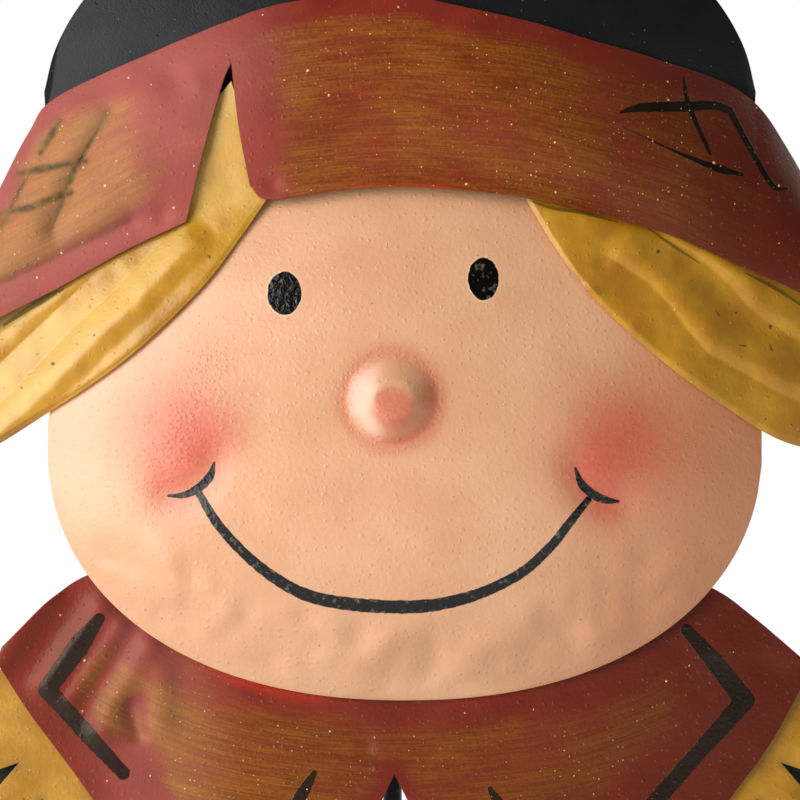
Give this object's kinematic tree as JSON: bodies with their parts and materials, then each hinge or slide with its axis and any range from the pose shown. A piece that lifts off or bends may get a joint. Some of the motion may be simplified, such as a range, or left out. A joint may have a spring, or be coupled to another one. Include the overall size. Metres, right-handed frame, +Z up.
{
  "type": "scarecrow figure",
  "caption": "Standing scarecrow of layered, painted pressed-steel sheets on an upright rod that lifts out of a socketed base plate, with a wire ring behind the hat.",
  "frame": {"origin": "middle of the base plate's underside, on the floor", "axes": "+Z up along the rod, -Y towards the viewer in front of the figure, +X to the viewer's right"},
  "size_m": [0.3796, 0.15, 0.7327],
  "materials": {
    "brick_red_paint": "satin brick-red paint rubbed with dull gold",
    "straw_paint": "satin straw-yellow paint",
    "green_paint": "satin dark green paint",
    "black_paint": "satin charcoal-black paint",
    "rod_paint": "black painted steel rod",
    "stand_paint": "black powder coat",
    "face_paint": "satin skin-tone paint with airbrushed cheeks",
    "ring_wire": "bright steel wire",
    "screw_steel": "blackened steel"
  },
  "bodies": {
    "stand": {"base_plate": "stand_paint", "base_socket": "stand_paint"},
    "figure": {"hat_crown": "black_paint", "hat_brim": "brick_red_paint", "hair_left": "straw_paint", "hair_right": "straw_paint", "face": "face_paint", "collar": "brick_red_paint", "straw_ruff_left": "straw_paint", "straw_ruff_right": "straw_paint", "shirt": "green_paint", "sleeve_left": "green_paint", "sleeve_right": "green_paint", "straw_hand_left": "straw_paint", "straw_hand_right": "straw_paint", "belt": "straw_paint", "trouser_leg_left": "brick_red_paint", "trouser_leg_right": "brick_red_paint", "straw_ankle_left": "straw_paint", "straw_ankle_right": "straw_paint", "boot_left": "black_paint", "boot_right": "black_paint", "back_rod": "rod_paint", "hat_bar": "rod_paint", "shoulder_bar": "rod_paint", "hip_bar": "rod_paint", "ankle_bar": "rod_paint", "ring_eye": "rod_paint"},
    "screw": {"thumb_screw": "screw_steel"},
    "ring": {"hanging_ring": "ring_wire"}
  },
  "joints": [
    {"name": "figure_lift", "type": "slide", "parent": "stand", "child": "figure", "axis": [0, 0, 1], "range_m": [0, 0.048]},
    {"name": "screw_turn", "type": "hinge", "parent": "stand", "child": "screw", "pos_m": [-0.002, 0.012, 0.033], "axis": [0, 1, 0], "range_deg": [0, 360]},
    {"name": "ring_swing", "type": "hinge", "parent": "figure", "child": "ring", "pos_m": [-0.002, 0.0063, 0.702], "axis": [1, 0, 0], "range_deg": [0, 180]}
  ]
}
